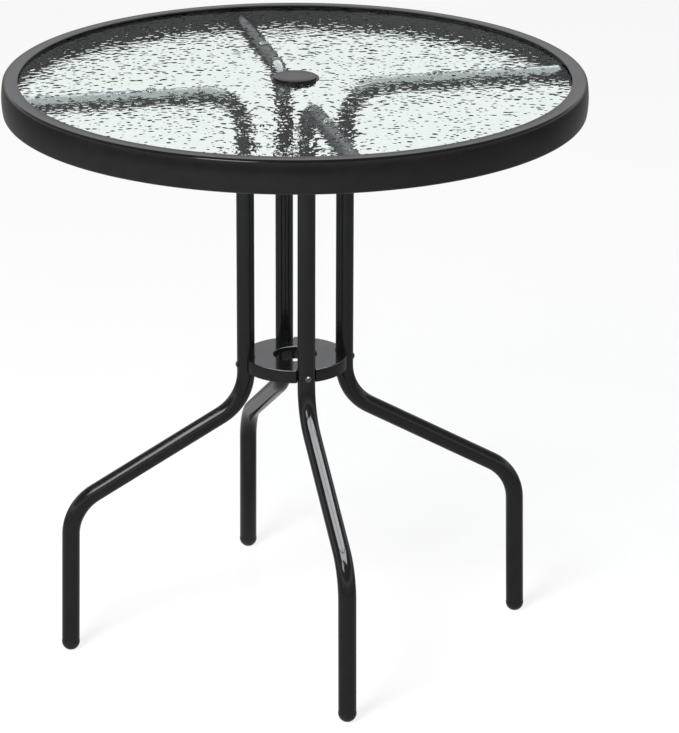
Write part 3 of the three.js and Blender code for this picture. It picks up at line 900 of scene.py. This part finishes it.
# Brackets: a trough under the end of each arm and an upright against the hoop
STAMPED_EDGE = 0.4 * MM
TROUGH_STEPS = 24
UPRIGHT_STEPS = 32
UPRIGHT_CORNER_STEPS = 6


def make_brackets():
    inner, outer = CRADLE_RADIUS, CRADLE_RADIUS + BRACKET_SHEET
    arm_top = tube_high.z
    face = ARM_END + GAP
    start = bracket_low.x
    edge = STAMPED_EDGE

    def wall(height):
        curve = HOOP_SIDE_CURVE - HOOP_SHEET
        return SIDE_CENTRE + math.sqrt(curve**2 - (height - HOOP_MIDDLE) ** 2) - GAP

    def trough_ring(x, shrink):
        down = -QUARTER
        half = TROUGH_HALF_ANGLE - shrink / inner
        points = [*arc(0, ARM_HEIGHT, outer - shrink, down - half, down + half, TROUGH_STEPS),
                  *arc(0, ARM_HEIGHT, inner + shrink, down + half, down - half, TROUGH_STEPS)]
        return [(x, y, z) for y, z in points]

    trough = [trough_ring(start, edge), trough_ring(start + edge, 0), trough_ring(face, 0)]
    vertices, faces = grid(trough, True, False)
    count = len(trough[0])
    half = count // 2
    for k in range(half - 1):
        faces.append((k, k + 1, count - 2 - k, count - 1 - k))
        base = 2 * count
        faces.append((base + k, base + k + 1, base + count - 2 - k, base + count - 1 - k))

    def upright_points(shrink):
        width = outer - shrink
        top = arm_top - shrink
        corner = BRACKET_CORNER - shrink
        steps = UPRIGHT_CORNER_STEPS
        return [*arc(0, ARM_HEIGHT, width, -math.pi, 0, UPRIGHT_STEPS),
                *arc(width - corner, top - corner, corner, 0, QUARTER, steps),
                *arc(corner - width, top - corner, corner, QUARTER, math.pi, steps)]

    def against_wall(points, setback):
        rows = []
        for y, z in points:
            reach = math.sqrt(wall(z) ** 2 - y**2) - setback
            rows.append((reach, y, z))
        return rows

    upright = [
        [(face, y, z) for y, z in upright_points(edge)],
        [(face + edge, y, z) for y, z in upright_points(0)],
        against_wall(upright_points(0), edge),
        against_wall(upright_points(edge), 0),
    ]
    more, more_faces = grid(upright, True, False)
    shift = len(vertices)
    size = len(upright[0])
    faces += [tuple(i + shift for i in f) for f in more_faces]
    faces.append(tuple(shift + k for k in range(size)))
    faces.append(tuple(reversed([shift + 3 * size + k for k in range(size)])))
    on_each_leg("rim_bracket", (vertices + more, faces), COAT)


# Clear pads between the arms and the glass
PAD_EDGE = 0.4 * MM
PAD_STEPS = 48
PAD_RINGS = 8


def make_pads():
    radius = pad_high.y
    place = (pad_low.x + pad_high.x) / 2
    top = pad_high.z

    def seat(y):
        return ARM_HEIGHT + math.sqrt(CRADLE_RADIUS**2 - y**2)

    turns = [2 * math.pi * k / PAD_STEPS for k in range(PAD_STEPS)]

    def row(r, height):
        return [(place + r * math.cos(a), r * math.sin(a),
                 height(r * math.sin(a)) if callable(height) else height) for a in turns]

    low = pad_low.z
    middle = radius / PAD_RINGS
    rows = [row(r, lambda y: max(seat(y), low)) for r in np.linspace(middle, radius, PAD_RINGS)]
    rows += [row(radius, top - PAD_EDGE), row(radius - PAD_EDGE, top), row(middle, top)]
    vertices, faces = grid(rows, True, False)
    faces.append(tuple(range(PAD_STEPS)))
    last = len(vertices) - PAD_STEPS
    faces.append(tuple(reversed(range(last, last + PAD_STEPS))))
    on_each_leg("glass_pad", (vertices, faces), VINYL)


# Floor and world
LEG_TURN = math.radians(12.6)  # the legs' turn from the camera's heading


def camera_side(x, y, z):
    """A place given from the camera's heading: x to its right, y away from it."""
    return tuple(Matrix.Rotation(-LEG_TURN, 3, "Z") @ Vector((x, y, z)))


FLOOR_RADIUS = 45.0
FLOOR_SIDES = 64
FLOOR_LIFT = 0.84  # part of the floor's look that is lifted to white
FLOOR_MIRRORED = (0.20, 0.11)  # brightness of the near and the far floor in reflections
FLOOR_FADE = 0.7  # metres behind the axis to where reflections show it dark
PAINTED_REFLECTION_PATCH = camera_side(-0.1, 0.55, 0.0)  # painted reflection: a glow on the floor behind the back leg, seen only in mirror reflections, which paints a highlight on its diagonal
PAINTED_REFLECTION_LIFT = 0.38
PAINTED_REFLECTION_REACH = (0.25, 0.45)  # metres from its middle to where it fades and ends


def make_floor():
    """A white floor: lifted to white where it is seen; mirror reflections see a painted grey, darker
    behind, and a painted bright patch behind the back leg for its diagonal to mirror.
    """
    turns = [2 * math.pi * k / FLOOR_SIDES for k in range(FLOOR_SIDES)]
    mesh = bpy.data.meshes.new("floor")
    ring = [(FLOOR_RADIUS * math.cos(a), FLOOR_RADIUS * math.sin(a), 0) for a in turns]
    mesh.from_pydata(ring, [], [tuple(range(FLOOR_SIDES))])
    floor = bpy.data.objects.new("floor", mesh)
    bpy.context.scene.collection.objects.link(floor)
    n = Nodes("pale_floor", Roughness=0.06, Specular_IOR_Level=0.5)
    n.link(n.colours(n.noise(3, 2), (0.93, 0.93, 0.93), (0.95, 0.95, 0.95)),
           n.shader.inputs["Base Color"])
    path = n.add("ShaderNodeLightPath")
    seen = n.add("ShaderNodeMath", operation="MAXIMUM")
    n.link(path.outputs["Is Camera Ray"], seen.inputs[0])
    n.link(path.outputs["Is Glossy Ray"], seen.inputs[1])
    also = n.add("ShaderNodeMath", operation="MAXIMUM")
    n.link(seen.outputs["Value"], also.inputs[0])
    n.link(path.outputs["Is Transmission Ray"], also.inputs[1])
    part = n.add("ShaderNodeMath", operation="MULTIPLY")
    part.inputs[1].default_value = FLOOR_LIFT
    n.link(also.outputs["Value"], part.inputs[0])
    white = n.add("ShaderNodeEmission")
    white.inputs["Strength"].default_value = 1.0
    heading = n.add("ShaderNodeMapping")
    heading.inputs["Rotation"].default_value = (0, 0, LEG_TURN)
    n.link(n.place, heading.inputs["Vector"])
    split = n.add("ShaderNodeSeparateXYZ")
    n.link(heading.outputs["Vector"], split.inputs["Vector"])
    mirrored = n.add("ShaderNodeEmission")
    away = n.add("ShaderNodeVectorMath", operation="DISTANCE")
    away.inputs[1].default_value = PAINTED_REFLECTION_PATCH
    n.link(n.place, away.inputs[0])
    level = n.add("ShaderNodeMath", operation="ADD")
    n.link(n.spread(split.outputs["Y"], *FLOOR_MIRRORED, 0.0, FLOOR_FADE), level.inputs[0])
    # painted reflection: a bright patch that only mirror reflections see, for the back leg's diagonal
    n.link(n.spread(away.outputs["Value"], PAINTED_REFLECTION_LIFT, 0.0, *PAINTED_REFLECTION_REACH), level.inputs[1])
    n.link(level.outputs["Value"], mirrored.inputs["Strength"])
    # refracted rays count as glossy too
    mirror = n.add("ShaderNodeMath", operation="SUBTRACT", use_clamp=True)
    n.link(path.outputs["Is Glossy Ray"], mirror.inputs[0])
    n.link(path.outputs["Is Transmission Ray"], mirror.inputs[1])
    lifted = n.add("ShaderNodeMixShader")
    n.link(mirror.outputs["Value"], lifted.inputs[0])
    n.link(white.outputs["Emission"], lifted.inputs[1])
    n.link(mirrored.outputs["Emission"], lifted.inputs[2])
    mix = n.add("ShaderNodeMixShader")
    n.link(part.outputs["Value"], mix.inputs[0])
    n.link(n.shader.outputs["BSDF"], mix.inputs[1])
    n.link(lifted.outputs["Shader"], mix.inputs[2])
    n.link(mix.outputs["Shader"], n.tree.nodes["Material Output"].inputs["Surface"])
    mesh.materials.append(n.material)
    return floor


# Brightness of the studio by the sine of the height above the horizon
STUDIO_LEVELS = [(0.0, 0.38), (0.2, 0.42), (0.27, 0.80), (0.34, 0.92), (0.42, 0.28), (1.0, 0.12)]
STUDIO_TONE = (0.98, 0.99, 1.01)


def make_world():
    """Studio: a bright band a little above the horizon, dim overhead."""
    world = bpy.data.worlds.new("studio")
    bpy.context.scene.world = world
    world.use_nodes = True
    tree = world.node_tree
    place = tree.nodes.new("ShaderNodeTexCoord")
    split = tree.nodes.new("ShaderNodeSeparateXYZ")
    tree.links.new(place.outputs["Generated"], split.inputs["Vector"])
    ramp = tree.nodes.new("ShaderNodeValToRGB")
    elements = ramp.color_ramp.elements
    while len(elements) < len(STUDIO_LEVELS):
        elements.new(0.5)
    for element, (height, level) in zip(elements, STUDIO_LEVELS):
        element.position = height
        element.color = (*(level * tone for tone in STUDIO_TONE), 1)
    tree.links.new(split.outputs["Z"], ramp.inputs["Fac"])
    tree.links.new(ramp.outputs["Color"], tree.nodes["Background"].inputs["Color"])
    tree.nodes["Background"].inputs["Strength"].default_value = 1.0


# Lamps
KEY_PLACE = camera_side(-1.47, -2.62, 3.2)
KEY_SIZE = (1.3, 1.3)
KEY_POWER = 37
WASH_POWER = 153
FLOOR_WASH_POWER = 110
CARD_PLACE = camera_side(0.1, 1.35, 3.35)
CARD_SIZE = (3.8, 6.3)
CARD_POWER = 690
SIDE_CARD_PLACE = camera_side(1.65, -3.2, 3.35)
SIDE_CARD_SIZE = (2.7, 4.6)
SIDE_CARD_POWER = 400


def lamp(name, place, size, power, target=None, turn=0.0):
    """A soft box that faces a target, or straight down and turned about Z."""
    data = bpy.data.lights.new(name, "AREA")
    data.shape = "RECTANGLE"
    data.size, data.size_y = size
    data.energy = power
    light = bpy.data.objects.new(name, data)
    light.location = place
    light.rotation_euler = (0, 0, turn)
    if target:
        aim = Vector(target) - Vector(place)
        light.rotation_euler = aim.to_track_quat("-Z", "Y").to_euler()
    bpy.context.scene.collection.objects.link(light)
    return light


def reach_only(light, name, things):
    """Lets a lamp light some objects and no others."""
    reached = bpy.data.collections.new(name)
    for thing in things:
        reached.objects.link(thing)
    light.light_linking.receiver_collection = reached


def named(*starts):
    """The objects whose names start in one of these ways."""
    return [thing for thing in bpy.context.scene.collection.objects if thing.name.startswith(starts)]


def make_lamps(floor):
    lamp("key", KEY_PLACE, KEY_SIZE, KEY_POWER, target=(0, 0, HOOP_TOP))
    wash = lamp("wash", KEY_PLACE, KEY_SIZE, WASH_POWER, target=(0, 0, HOOP_TOP))
    wash.visible_glossy = False

    # lifts the floor alone to white and deepens the shadows on it
    floor_wash = lamp("floor_wash", KEY_PLACE, KEY_SIZE, FLOOR_WASH_POWER, target=(0, 0, HOOP_TOP))
    floor_wash.visible_glossy = False
    reach_only(floor_wash, "floor_only", [floor])

    # a long white card over the table, for the gloss of the legs and of the plate's edges
    card = lamp("card", CARD_PLACE, CARD_SIZE, CARD_POWER, turn=-LEG_TURN)
    card.data.color = (0.95, 0.97, 1.0)
    card.visible_diffuse = False
    reach_only(card, "under_glass", named("leg_tube", "plate_bolt", "plate_nut", "ring_plate"))

    # a second card toward the camera, for the arms that lie across its heading
    side_card = lamp("side_card", SIDE_CARD_PLACE, SIDE_CARD_SIZE, SIDE_CARD_POWER, turn=-LEG_TURN)
    side_card.data.color = (0.93, 1.0, 0.985)
    side_card.visible_diffuse = False
    reach_only(side_card, "side_legs", named("leg_tube_left", "leg_tube_right"))


# Camera: the photograph's, found from the table's outline
IMAGE_WIDTH, IMAGE_HEIGHT = 679, 733
FOCAL_PIXELS = 4165.6
OBJECT_COLUMN = 297.7  # the column of the photograph that the heading points at
CAMERA_PLACE = (0.003, -4.7917, 2.0605)  # with the heading along +Y
PITCH = 0.3433  # radians below the horizon
SENSOR = 36.0


def make_camera():
    data = bpy.data.cameras.new("camera")
    data.sensor_width = SENSOR
    data.lens = FOCAL_PIXELS * SENSOR / IMAGE_HEIGHT
    camera = bpy.data.objects.new("camera", data)
    to_frame = Matrix.Rotation(-LEG_TURN, 4, "Z")
    aside = math.atan((IMAGE_WIDTH / 2 - OBJECT_COLUMN) / FOCAL_PIXELS)
    tilt = Matrix.Rotation(QUARTER - PITCH, 4, "X")
    side = Matrix.Rotation(-aside, 4, "Y")
    camera.matrix_world = to_frame @ Matrix.Translation(CAMERA_PLACE) @ tilt @ side
    bpy.context.scene.collection.objects.link(camera)
    bpy.context.scene.camera = camera


make_camera()
make_hoop()
make_glass()
make_trim()
make_ring()
make_cap()
make_legs()
make_feet()
make_plate()
make_fasteners()
make_brackets()
make_pads()
floor = make_floor()
make_world()
make_lamps(floor)

bpy.context.scene.view_settings.view_transform = "Standard"
